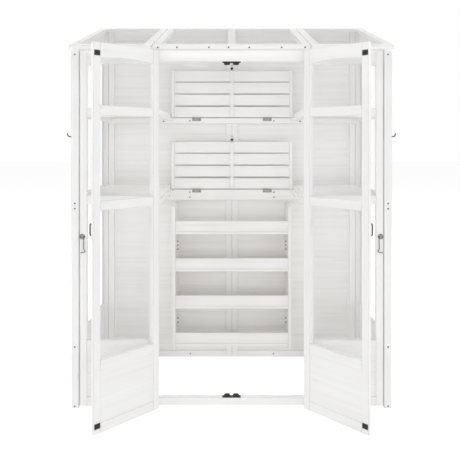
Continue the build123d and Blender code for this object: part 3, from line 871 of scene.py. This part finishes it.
class GREENHOUSE_OT_sides(bpy.types.Operator):
    """Glazed side walls over a boarded dado"""

    bl_idname = "greenhouse.sides"
    bl_label = "Side walls"

    def execute(self, context):
        s = timber()
        pile = Timbers(41)
        boards = Timbers(42)
        sheets = Timbers(43)
        for index, side in enumerate(SIDES):
            low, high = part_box(side + "_side_panel")
            place = side_place(low.x)
            depth = (0.0, high.x - low.x)
            left, right = low.y + s.stile_width, high.y - s.back_edge
            for start, end in ((low.y, left), (right, high.y)):
                pile.plank(under_roof(start, end, low.z), depth, place, "y")
            start, end = left + s.joint, right - s.joint
            for foot, top in rail_spans(low.z):
                pile.plank(rectangle(start, foot, end, top), depth, place, "x")
            ends = [(y, roof_under(y)) for y in (start, end)]
            head = [(y, z - s.head_rail) for y, z in ends] + ends[::-1]
            pile.plank(head, depth, place, "x")
            dado_boards(boards, place, left, right, low.z, depth[1] / 2, 45 + index, s.board_edge)
            self.glaze(sheets, place, depth[1] / 2, start, end)
        pile.build("side_frames", "house", ["left_side_panel", "right_side_panel"])
        boards.build("side_dado_boards", "house", ["side_boards"])
        sheets.build("side_sheets", "house", ["side_glazing"], wall_sheet())
        return {"FINISHED"}

    def glaze(self, sheets, place, middle, left, right):
        """Clear sheet in the three lights of one side."""
        s = timber()
        half = fittings().sheet_thickness / 2
        tops = [(s.lower_rail_top - s.rail_height,) * 2, (s.upper_rail_top - s.rail_height,) * 2]
        tops.append((roof_under(left) - s.head_rail, roof_under(right) - s.head_rail))
        for foot, (top_left, top_right) in zip((s.dado_top, s.lower_rail_top, s.upper_rail_top), tops):
            outline = rectangle(left, foot + s.joint, right, top_right - s.joint)
            outline[-1] = (left, top_left - s.joint)
            sheets.plank(outline, (middle - half, middle + half), place, "y", s.joint)


class GREENHOUSE_OT_back(bpy.types.Operator):
    """Back wall: two framed halves with horizontal boards"""

    bl_idname = "greenhouse.back"
    bl_label = "Back wall"

    def execute(self, context):
        s = timber()
        pile = Timbers(51)
        boards = Timbers(52)
        board_low, board_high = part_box("back_boards")
        for index, side in enumerate(SIDES):
            low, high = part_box(side + "_back_panel")
            place = front_place(0, low.y)
            depth = (low.y - high.y, 0.0)
            left, right = low.x + s.back_stile, high.x - s.back_stile
            pile.plank(rectangle(low.x, low.z, left, high.z), depth, place, "y", s.seam_edge)
            pile.plank(rectangle(right, low.z, high.x, high.z), depth, place, "y", s.seam_edge)
            start, end = left + s.joint, right - s.joint
            foot, top = s.back_bottom_rail, high.z - s.back_top_rail
            pile.plank(rectangle(start, low.z, end, foot), depth, place, "x")
            pile.plank(rectangle(start, top, end, high.z), depth, place, "x")
            count = math.ceil((top - foot) / s.back_board_pitch)
            middle = low.y - (board_low.y + board_high.y) / 2
            infill(boards, place, left, right, foot, top, count, middle, 55 + index, s.board_edge / 2)
        pile.build("back_frames", "house", ["left_back_panel", "right_back_panel"])
        boards.build("back_wall_boards", "house", ["back_boards"], washed_wood())
        rails = Timbers(53)
        for level in LEVELS:
            rails.bar(*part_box(level + "_leaf_rail"))
        rails.build("leaf_rails", "house", ["upper_leaf_rail", "lower_leaf_rail"])
        return {"FINISHED"}


class GREENHOUSE_OT_roof(bpy.types.Operator):
    """Three roof sections: rails and rafters round clear sheet"""

    bl_idname = "greenhouse.roof"
    bl_label = "Roof"

    def execute(self, context):
        s = timber()
        place = roof_place()
        for index, (section, bars) in enumerate(ROOF_BARS.items()):
            pile = Timbers(61 + index)
            node_name = section + "_roof_section"
            low, high = span_in(node_name, place)
            if section != "left":
                low.x += s.roof_seam
            if section != "right":
                high.x -= s.roof_seam
            depth = (low.z, high.z)
            pile.plank(rectangle(low.x, low.y, high.x, low.y + s.roof_bar), depth, place, "x")
            pile.plank(rectangle(low.x, high.y - s.roof_bar, high.x, high.y), depth, place, "x")
            foot, top = low.y + s.roof_bar + s.joint, high.y - s.roof_bar - s.joint
            pitch = (high.x - low.x - s.roof_bar) / (bars + 1)
            for bar in range(bars + 2):
                x = low.x + bar * pitch
                pile.plank(rectangle(x, foot, x + s.roof_bar, top), depth, place, "y")
            pile.build(section + "_roof_frame", "house", [node_name])
        self.sheets(place)
        return {"FINISHED"}

    def sheets(self, place):
        """Clear sheets over the sections, marked by how far their painted shade shows."""
        s = timber()
        low, high = span_in("roof_glazing", place)
        thickness = fittings().sheet_thickness
        bm = bmesh.new()
        field = bm.faces.layers.float.new("field")
        for section, bars in ROOF_BARS.items():
            frame_low, frame_high = span_in(section + "_roof_section", place)
            margin = low.y - frame_low.y
            pitch = (frame_high.x - frame_low.x - s.roof_bar) / (bars + 1)
            xs = [frame_low.x + margin]
            for bar in range(bars + 2):
                x = frame_low.x + bar * pitch
                xs.extend(edge for edge in (x, x + s.roof_bar) if frame_low.x < edge < frame_high.x)
            xs = [x for x in xs if x < frame_high.x - margin] + [frame_high.x - margin]
            ys = [low.y, frame_low.y + s.roof_bar, frame_high.y - s.roof_bar, high.y]
            self.gridded(bm, field, xs, ys, (high.z - thickness, high.z))
        bmesh.ops.transform(bm, matrix=place, verts=bm.verts[:])
        bmesh.ops.recalc_face_normals(bm, faces=bm.faces[:])
        mesh = bpy.data.meshes.new("roof_sheets")
        bm.to_mesh(mesh)
        bm.free()
        mesh.materials.append(roof_sheet())
        settle("roof_sheets", mesh, "house", ["roof_glazing"])

    def gridded(self, bm, field, xs, ys, depth):
        """A flat sheet cut along xs and ys, whose cells alternate between bars and open fields."""
        columns, rows = range(len(xs) - 1), range(len(ys) - 1)
        # How far the painted shade shows: most over open fields, less over bars, least at the rims
        shares = [PAINTED_SHADE["open"] if i % 2 else PAINTED_SHADE["bar"] for i in columns]
        shares[0] = shares[-1] = PAINTED_SHADE["rim"]
        grid = {}
        for k, z in enumerate(depth):
            for i, x in enumerate(xs):
                for j, y in enumerate(ys):
                    grid[i, j, k] = bm.verts.new((x, y, z))
        for i in columns:
            for j in rows:
                for k in range(len(depth)):
                    ring = [grid[i, j, k], grid[i + 1, j, k], grid[i + 1, j + 1, k], grid[i, j + 1, k]]
                    bm.faces.new(ring)[field] = shares[i] if j == 1 else 0.0
        for j in (0, len(rows)):
            for i in columns:
                bm.faces.new((grid[i, j, 0], grid[i + 1, j, 0], grid[i + 1, j, 1], grid[i, j, 1]))
        for i in (0, len(columns)):
            for j in rows:
                bm.faces.new((grid[i, j, 0], grid[i, j + 1, 0], grid[i, j + 1, 1], grid[i, j, 1]))


class GREENHOUSE_OT_shelves(bpy.types.Operator):
    """Slatted side shelves and the leaves that fold down between them"""

    bl_idname = "greenhouse.shelves"
    bl_label = "Shelves"

    def execute(self, context):
        for level_index, level in enumerate(LEVELS):
            for side_index, side in enumerate(SIDES):
                self.side_shelf(level, side, 70 + 2 * level_index + side_index)
            self.leaf(level, 80 + level_index)
        return {"FINISHED"}

    def side_shelf(self, level, side, seed):
        """Slats across two bearers, of which the inner one has a ledge and a strip over their ends."""
        s = timber()
        sign = SIDES[side]
        node_name = f"{side}_{level}_shelf"
        low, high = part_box(node_name)
        pile = Timbers(seed)
        under = high.z - s.slat_thickness
        inner, outer = (high.x, low.x) if sign < 0 else (low.x, high.x)
        ledge_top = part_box(level + "_leaf")[0].z - s.ledge_drop
        slat_end = inner + sign * s.ledge_width
        bearer_end = slat_end + sign * s.shelf_bearer
        profile = [
            (inner, low.z),
            (bearer_end, low.z),
            (bearer_end, under),
            (slat_end, under),
            (slat_end, ledge_top),
            (inner, ledge_top),
        ]
        run = (low.y - high.y, 0.0)
        place = front_place(0, low.y)
        pile.plank(profile, run, place, "z")
        pile.plank(rectangle(outer - sign * s.shelf_bearer, low.z, outer, under), run, place, "z")
        strip = rectangle(slat_end, ledge_top, slat_end - sign * s.shelf_lip, high.z)
        pile.plank(strip, run, place, "z", s.shelf_lip / 3)
        slat_outer = outer - sign * s.slat_inset
        pitch = (high.y - low.y - s.slat_width) / (s.shelf_slats - 1)
        slat_run = abs(slat_outer - slat_end)
        mesh = board_row(s.shelf_slats, pitch, slat_run, s.slat_width, s.slat_thickness, seed)
        middle = (slat_outer + slat_end) / 2
        start = (middle, low.y + s.slat_width / 2, under + s.slat_thickness / 2)
        pile.grown(mesh, Matrix.Translation(start))
        pile.build(f"{side}_{level}_shelf_slats", "house", [node_name])

    def leaf(self, level, seed):
        """Slats on bearers, with a thick bottom slat between them that takes the hinges."""
        s = timber()
        node_name = level + "_leaf"
        low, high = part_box(node_name)
        pile = Timbers(seed)
        place = front_place(0, low.y)
        bearer_depth = high.y - low.y - s.slat_thickness
        half = s.middle_bearer / 2
        left, right = low.x + s.bearer_width, high.x - s.bearer_width
        for x0, x1 in ((low.x, left), (-half, half), (right, high.x)):
            pile.plank(rectangle(x0, low.z, x1, high.z), (-bearer_depth, 0.0), place, "y")
        thick = (low.y - high.y, -s.leaf_recess)
        for x0, x1 in ((left, -half), (half, right)):
            pile.plank(rectangle(x0, low.z, x1, low.z + s.slat_width), thick, place, "x")
        thin = s.leaf_slats - 1
        pitch = (high.z - low.z - s.leaf_slat) / thin
        mesh = board_row(thin, pitch, high.x - low.x, s.leaf_slat, s.slat_thickness, seed)
        start = (0.0, low.z + pitch + s.leaf_slat / 2, -bearer_depth - s.slat_thickness / 2)
        pile.grown(mesh, place @ Matrix.Translation(start))
        pile.build(level + "_leaf_slats", node_name, [node_name])


class GREENHOUSE_OT_rack(bpy.types.Operator):
    """Rack under the lower leaf: sides with pegs, and lipped trays"""

    bl_idname = "greenhouse.rack"
    bl_label = "Rack"

    def execute(self, context):
        s = timber()
        trays = Timbers(91)
        names = [f"tray_{i}" for i in range(1, 5)]
        for name in names:
            low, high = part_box(name)
            top = low.z + s.tray_board
            trays.plank(rectangle(low.x, low.y, high.x, high.y), (low.z, top), Matrix(), "x")
            front = low.y + s.tray_setback
            lip = rectangle(low.x, front, high.x, front + s.tray_lip)
            trays.plank(lip, (top, high.z), Matrix(), "x")
        trays.build("rack_trays", "house", names, washed_wood())
        sides = Timbers(92)
        low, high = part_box("rack_sides")
        left, right = low.x + s.rack_board, high.x - s.rack_board
        for x in (low.x, right):
            outline = rectangle(low.y, low.z, high.y, high.z)
            sides.plank(outline, (0.0, s.rack_board), side_place(x), "y")
        sides.build("rack_side_boards", "house", ["rack_sides"], washed_wood())
        spots = []
        for x, way in ((left, 1), (right, -1)):
            for z in PEG_HEIGHTS:
                spots.append((Vector((x, (low.y + high.y) / 2, z)), Vector((way, 0, 0))))
        screws("rack_pegs", "house", spots, fittings().peg_radius, fittings().peg_height)
        return {"FINISHED"}


class GREENHOUSE_OT_doors(bpy.types.Operator):
    """Glazed doors over a boarded dado, as they stand open"""

    bl_idname = "greenhouse.doors"
    bl_label = "Doors"

    def execute(self, context):
        for index, side in enumerate(SIDES):
            body = side + "_door"
            place = door_place(side)
            low, high = span_in(body, place)
            pile = Timbers(101 + index)
            panel_planks(pile, place, low, high)
            pile.build(side + "_door_frame", body, [side + "_door"])
            boards = Timbers(105 + index)
            panel_dado(boards, place, low, high, 110 + index, timber().door_board_edge)
            boards.build(side + "_door_dado_boards", body, [side + "_door_boards"])
        return {"FINISHED"}


# Fittings
def wire_mesh(points, radius, bends):
    """A round rod along points, its corners rounded by the bend radius."""
    path = bpy.data.curves.new("rod", "CURVE")
    path.dimensions = "3D"
    path.bevel_depth = radius
    path.bevel_resolution = fittings().wire_steps
    path.use_fill_caps = True
    spline = path.splines.new("POLY")
    rounded = []
    corners = [Vector(p) for p in points]
    for i, corner in enumerate(corners):
        if i in (0, len(corners) - 1):
            rounded.append(corner)
            continue
        before = (corners[i - 1] - corner).normalized()
        after = (corners[i + 1] - corner).normalized()
        start, end = corner + before * bends, corner + after * bends
        for step in range(BEND_STEPS + 1):
            t = step / BEND_STEPS
            rounded.append(start * (1 - t) ** 2 + corner * (2 * t * (1 - t)) + end * t * t)
    spline.points.add(len(rounded) - 1)
    for point, place in zip(spline.points, rounded):
        point.co = (*place, 1.0)
    carrier = bpy.data.objects.new("rod", path)
    bpy.context.scene.collection.objects.link(carrier)
    bpy.context.view_layer.update()
    depsgraph = bpy.context.evaluated_depsgraph_get()
    mesh = bpy.data.meshes.new_from_object(carrier.evaluated_get(depsgraph), depsgraph=depsgraph)
    bpy.data.objects.remove(carrier)
    mesh.materials.clear()
    return mesh


def merged(meshes, material):
    """Several meshes as one, smooth where they curve."""
    bm = bmesh.new()
    for mesh in meshes:
        bm.from_mesh(mesh)
        bpy.data.meshes.remove(mesh)
    bmesh.ops.remove_doubles(bm, verts=bm.verts[:], dist=WELD)
    bmesh.ops.recalc_face_normals(bm, faces=bm.faces[:])
    made = bpy.data.meshes.new("merged")
    bm.to_mesh(made)
    bm.free()
    made.materials.append(material)
    made.shade_smooth()
    made.set_sharp_from_angle(angle=SHARP_ANGLE)
    return made


def prism_mesh(outline, span, place, edge, segments=EASING_STEPS):
    """An outline drawn out along its plane's z, as a mesh of its own."""
    bm = prism(outline, span, edge, segments)
    bmesh.ops.transform(bm, matrix=place, verts=bm.verts[:])
    mesh = bpy.data.meshes.new("prism")
    bm.to_mesh(mesh)
    bm.free()
    return mesh


def disc(radius, sides=24):
    turns = [2 * math.pi * i / sides for i in range(sides)]
    return [(radius * math.cos(turn), radius * math.sin(turn)) for turn in turns]


class GREENHOUSE_OT_fittings(bpy.types.Operator):
    """Catches, strike plates, pulls and hooks"""

    bl_idname = "greenhouse.fittings"
    bl_label = "Fittings"

    def execute(self, context):
        self.catches()
        self.leaf_catches()
        for side in SIDES:
            self.door_fittings(side)
        self.hold_backs()
        self.post_hooks()
        return {"FINISHED"}

    def catches(self):
        """Two-block magnetic catches on the sill and under the head."""
        low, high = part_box("door_catches")
        flange, height, block, taper, spacing = 0.006, 0.017, 0.017, 0.004, 0.023
        flange_edge, block_edge, block_foot = 0.0008, 0.0012, 0.9
        place = front_place(0, low.y)
        depth = (low.y - high.y, 0.0)
        meshes = []
        for base, up in ((low.z, 1), (high.z, -1)):
            plate = rectangle(low.x, base, high.x, base + up * flange)
            meshes.append(prism_mesh(plate, depth, place, flange_edge))
            foot, top = base + up * flange * block_foot, base + up * height
            for middle in (-spacing, spacing):
                outline = [
                    (middle - block, foot),
                    (middle + block, foot),
                    (middle + block - taper, top),
                    (middle - block + taper, top),
                ]
                meshes.append(prism_mesh(outline, depth, place, block_edge))
        mesh = merged(meshes, black_plastic_and_recess_shade())
        settle("magnetic_catches", mesh, "house", ["door_catches"])

    def leaf_catches(self):
        """Spring catches over the folded leaves: a bent plate with a dark tip."""
        low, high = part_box("leaf_catches")
        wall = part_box("left_back_panel")[0].y
        height, plate, sheet, tip, screw_drop = 0.014, 0.036, 0.002, 0.011, 0.008
        plate_edge, cheek_edge, nose_edge, nose_steps = 0.0007, 0.0006, 0.0025, 3
        place = front_place(0, wall)
        reach = wall - low.y
        half = (high.x - low.x) / 2
        plates, tips, spots = [], [], []
        for foot in (low.z, high.z - height):
            back = rectangle(-half, foot, half, foot + plate)
            plates.append(prism_mesh(back, (0.0, sheet), place, plate_edge))
            for x in (-half, half - sheet):
                cheek = rectangle(x, foot, x + sheet, foot + height)
                plates.append(prism_mesh(cheek, (sheet / 2, reach), place, cheek_edge))
            nose = rectangle(-half + sheet, foot, half - sheet, foot + tip)
            tips.append(prism_mesh(nose, (sheet, reach), place, nose_edge, nose_steps))
            for x in (-half / 2, half / 2):
                spots.append((place @ Vector((x, foot + plate - screw_drop, sheet)), FRONT))
        mesh = merged(plates, painted_plain())
        settle("leaf_catch_plates", mesh, "house", ["leaf_catches"])
        settle("leaf_catch_tips", merged(tips, black_plastic_and_recess_shade()), "house", [])
        screws("leaf_catch_screws", "house", spots, fittings().hinge_screw)

    def door_fittings(self, side):
        """Strike plates inside a door and the pull outside it."""
        place = door_place(side)
        body = side + "_door"
        plate, plate_edge = 0.025, 0.0006
        bend, rose, rose_thickness, rose_edge = 0.009, 2.0, 0.0018, 0.0006
        low, high = span_in(side + "_door_strikes", place)
        meshes = []
        for foot in (low.y, high.y - plate):
            outline = rectangle(low.x, foot, high.x, foot + plate)
            meshes.append(prism_mesh(outline, (low.z, high.z), place, plate_edge))
        mesh = merged(meshes, black_plastic_and_recess_shade())
        settle(side + "_strike_plates", mesh, body, [side + "_door_strikes"])
        low, high = span_in(side + "_door_pull", place)
        radius = fittings().pull_radius
        x = (low.x + high.x) / 2
        foot, top, out = low.y + radius, high.y - radius, high.z - radius
        points = [(x, foot, low.z), (x, foot, out), (x, top, out), (x, top, low.z)]
        meshes = [wire_mesh([place @ Vector(p) for p in points], radius, bend)]
        for height in (foot, top):
            spot = place @ Matrix.Translation((x, height, low.z))
            meshes.append(prism_mesh(disc(radius * rose), (0.0, rose_thickness), spot, rose_edge))
        settle(side + "_pull", merged(meshes, dark_steel()), body, [side + "_door_pull"])

    def hold_backs(self):
        """Hold-back hooks on the front stiles: a round plate, an eye and a bent wire."""
        wire = fittings().wire_radius
        low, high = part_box("hold_back_hooks")
        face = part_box("left_front_panel")[0].y
        plate, plate_thickness, plate_edge = 0.0145, 0.0025, 0.0009
        boss, boss_sides, boss_reach, boss_edge = 0.0045, 12, 0.0095, 0.001
        stem_offset, wire_reach, bend = 0.010, 0.007, 0.004
        screw_arm, screw_turns = 0.62, (0.5, 1.17, 1.83)
        # Steps of the wire outwards from its stem, and up from the hook's foot
        steps = ((0.002, 0.022), (-0.007, 0.010), (0.004, wire), (0.019, wire))
        eye = high.z - plate
        out = face - wire_reach
        arm = plate * screw_arm
        meshes, plates, spots = [], [], []
        for sign in SIDES.values():
            middle = sign * (high.x - plate)
            stem = middle - sign * stem_offset
            points = [(stem, face, eye), (stem, out, eye)]
            points.extend((stem + sign * aside, out, low.z + rise) for aside, rise in steps)
            meshes.append(wire_mesh(points, wire, bend))
            spot = front_place(middle, face) @ Matrix.Translation((0.0, eye, 0.0))
            plates.append(prism_mesh(disc(plate), (0.0, plate_thickness), spot, plate_edge))
            eyelet = front_place(stem, face) @ Matrix.Translation((0.0, eye, 0.0))
            meshes.append(prism_mesh(disc(boss, boss_sides), (0.0, boss_reach), eyelet, boss_edge))
            for turn in screw_turns:
                x = middle + sign * arm * math.cos(turn * math.pi)
                z = eye + arm * math.sin(turn * math.pi)
                spots.append((Vector((x, face - plate_thickness, z)), FRONT))
        screws("hold_back_screws", "house", spots, fittings().hinge_screw)
        mesh = merged(meshes, dark_steel())
        settle("hold_back_hook_wires", mesh, "house", ["hold_back_hooks"])
        settle("hold_back_plates", merged(plates, zinc_steel()), "house", [])

    def post_hooks(self):
        """Cup hooks on the posts: a bent rod with a round foot."""
        low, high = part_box("cup_hooks")
        rod_share, bend = 1.5, 0.014
        foot, foot_sides, foot_thickness, foot_edge = 2.4, 16, 0.0015, 0.0005
        rod = (high.y - low.y) / 2 * rod_share
        y, z = (low.y + high.y) / 2, low.z + rod
        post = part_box("front_posts")[1].x
        meshes = []
        for sign in SIDES.values():
            tip = sign * (high.x - rod)
            points = [(sign * post, y, z), (tip, y, z), (tip, y, high.z)]
            meshes.append(wire_mesh(points, rod, bend))
            spot = side_place(sign * post) @ Matrix.Translation((y, z, 0.0))
            outline = disc(rod * foot, foot_sides)
            meshes.append(prism_mesh(outline, (0.0, sign * foot_thickness), spot, foot_edge))
        settle("post_hooks", merged(meshes, dark_steel()), "house", ["cup_hooks"])


class GREENHOUSE_OT_screws(bpy.types.Operator):
    """Screws in the posts, rails, hinges and roof edge"""

    bl_idname = "greenhouse.screws"
    bl_label = "Screws"

    def execute(self, context):
        spots = []
        low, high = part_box("front_posts")
        middle = high.x - (high.y - low.y) / 2
        for sign in SIDES.values():
            spots.extend((Vector((sign * middle, low.y, z)), FRONT) for z in POST_SCREWS)
        for level, places in RAIL_SCREWS.items():
            low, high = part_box(level + "_leaf_rail")
            for sign in SIDES.values():
                for x, share in places:
                    spots.append((Vector((sign * x, low.y, low.z + (high.z - low.z) * share)), FRONT))
        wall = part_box("left_back_panel")[0].y
        x, z = BACK_SCREW
        spots.extend((Vector((sign * x, wall, z)), FRONT) for sign in SIDES.values())
        place = roof_place()
        low, high = span_in("middle_roof_section", place)
        out = place.to_3x3() @ FRONT
        for x in ROOF_SCREWS:
            spots.append((place @ Vector((x, low.y, (low.z + high.z) / 2)), out))
        screws("house_screws", "house", spots)
        self.hinge_screws()
        return {"FINISHED"}

    def hinge_screws(self):
        """Screws through the hinges' plates on the jambs, doors, rails and leaves."""
        plate, radius = fittings().hinge_plate, fittings().hinge_screw
        door_spread, door_inset = 0.022, 0.0095
        leaf_hinge, leaf_spread, leaf_inset, rail_drop = 0.220, 0.019, 0.0075, 0.0125
        heights = [z + lift for z in HINGE_HEIGHTS for lift in (-door_spread, 0.0, door_spread)]
        widths = [x + shift for x in (-leaf_hinge, leaf_hinge) for shift in (-leaf_spread, leaf_spread)]
        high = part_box("door_jamb_hinges")[1]
        spots = []
        for sign in SIDES.values():
            x = sign * (high.x - door_inset)
            spots.extend((Vector((x, high.y - plate, z)), FRONT) for z in heights)
        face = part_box("leaf_rail_hinges")[1].y - plate
        pins = [j["pos_m"] for j in frame["joints"] if j["name"].endswith("_fold")]
        for pin in pins:
            spots.extend((Vector((x, face, pin[2] - rail_drop)), FRONT) for x in widths)
        screws("hinge_screws", "house", spots, radius)
        for side in SIDES:
            place = door_place(side)
            low, high = span_in(side + "_door_hinges", place)
            out = place.to_3x3() @ Vector((0, 0, 1))
            x, face = high.x - door_inset, low.z + plate
            spots = [(place @ Vector((x, z, face)), out) for z in heights]
            screws(side + "_door_screws", side + "_door", spots, radius)
        for level in LEVELS:
            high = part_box(level + "_leaf_hinges")[1]
            spots = [(Vector((x, high.y - leaf_inset, high.z - plate)), DOWN) for x in widths]
            screws(level + "_leaf_screws", level + "_leaf", spots, radius)


class GREENHOUSE_OT_finishes(bpy.types.Operator):
    """Finishes for the sheets and hinges that stay as they were drawn"""

    bl_idname = "greenhouse.finishes"
    bl_label = "Sheets and hinges"

    def execute(self, context):
        for name, obj in frame["nodes"].items():
            if "glazing" in name:
                finish = wall_sheet()
            elif "hinges" in name:
                finish = hinge_metal()
            else:
                continue
            for slot in obj.material_slots:
                slot.material = finish
        return {"FINISHED"}


class GREENHOUSE_OT_stage(bpy.types.Operator):
    """Pale floor, soft light and the camera"""

    bl_idname = "greenhouse.stage"
    bl_label = "Stage"

    def execute(self, context):
        scene = context.scene
        self.floor(scene)
        self.sky(scene)
        for name, lamp in LAMPS.items():
            self.softbox(name, *lamp)
        for side, sign in SIDES.items():
            for end, (place, target, size, power) in SIDE_LAMPS.items():
                self.softbox(side + end, (sign * place[0], place[1], place[2]), target, size, power)
        scene.view_settings.view_transform = "Standard"
        scene.cycles.diffuse_bounces = DIFFUSE_BOUNCES
        self.camera(scene)
        return {"FINISHED"}

    def floor(self, scene):
        """A pale floor that the camera sees brighter than the room does."""
        mesh = bpy.data.meshes.new("floor")
        corners = rectangle(-FLOOR_HALF, -FLOOR_HALF, FLOOR_HALF, FLOOR_HALF)
        mesh.from_pydata([(x, y, 0.0) for x, y in corners], [], [(0, 1, 2, 3)])
        material, tree, shader = new_material("studio_floor")
        shader.inputs["Base Color"].default_value = finishes().floor
        shader.inputs["Roughness"].default_value = 0.9
        shader.inputs["Emission Color"].default_value = finishes().floor
        shown = node(tree, "ShaderNodeLightPath").outputs["Is Camera Ray"]
        tree.links.new(ranged(tree, shown, *FLOOR_GLOW), shader.inputs["Emission Strength"])
        mesh.materials.append(material)
        floor = bpy.data.objects.new("floor", mesh)
        scene.collection.objects.link(floor)

    def sky(self, scene):
        """A white world that lights the room less than it shows."""
        world = bpy.data.worlds.new("studio")
        world.use_nodes = True
        tree = world.node_tree
        background = tree.nodes["Background"]
        shown = node(tree, "ShaderNodeLightPath").outputs["Is Camera Ray"]
        background.inputs["Color"].default_value = WHITE
        tree.links.new(ranged(tree, shown, *SKY_GLOW), background.inputs["Strength"])
        scene.world = world

    def softbox(self, name, place, target, size, power):
        """A square lamp that faces its target."""
        light = bpy.data.lights.new(name, "AREA")
        light.shape = "SQUARE"
        light.size = size
        light.energy = power
        lamp = bpy.data.objects.new(name, light)
        lamp.location = place
        lamp.rotation_euler = (Vector(target) - Vector(place)).to_track_quat("-Z", "Y").to_euler()
        bpy.context.scene.collection.objects.link(lamp)

    def camera(self, scene):
        """A level camera that faces the front."""
        camera = bpy.data.cameras.new("camera")
        for name, value in CAMERA.items():
            setattr(camera, name, value)
        eye = bpy.data.objects.new("camera", camera)
        eye.location = EYE
        eye.rotation_euler = (math.radians(90), 0, 0)
        scene.collection.objects.link(eye)
        scene.camera = eye


OPERATORS = (
    GREENHOUSE_OT_posts,
    GREENHOUSE_OT_front,
    GREENHOUSE_OT_sides,
    GREENHOUSE_OT_back,
    GREENHOUSE_OT_roof,
    GREENHOUSE_OT_shelves,
    GREENHOUSE_OT_rack,
    GREENHOUSE_OT_doors,
    GREENHOUSE_OT_fittings,
    GREENHOUSE_OT_screws,
    GREENHOUSE_OT_finishes,
    GREENHOUSE_OT_stage,
)


class GREENHOUSE_PT_panel(bpy.types.Panel):
    """Lists the steps of the greenhouse"""

    bl_idname = "GREENHOUSE_PT_panel"
    bl_label = "Greenhouse"
    bl_space_type = "VIEW_3D"
    bl_region_type = "UI"
    bl_category = "Greenhouse"

    def draw(self, context):
        for operator in OPERATORS:
            self.layout.operator(operator.bl_idname)


GROUPS = {
    "greenhouse_timber": GreenhouseTimber,
    "greenhouse_fittings": GreenhouseFittings,
    "greenhouse_finishes": GreenhouseFinishes,
}


def register():
    for name, group in GROUPS.items():
        bpy.utils.register_class(group)
        setattr(bpy.types.Scene, name, PointerProperty(type=group))
    for operator in OPERATORS:
        bpy.utils.register_class(operator)
    bpy.utils.register_class(GREENHOUSE_PT_panel)


def unregister():
    bpy.utils.unregister_class(GREENHOUSE_PT_panel)
    for operator in reversed(OPERATORS):
        bpy.utils.unregister_class(operator)
    for name, group in GROUPS.items():
        delattr(bpy.types.Scene, name)
        bpy.utils.unregister_class(group)


def main():
    register()
    for operator in OPERATORS:
        group, name = operator.bl_idname.split(".")
        getattr(getattr(bpy.ops, group), name)()


if __name__ == "__main__":
    main()
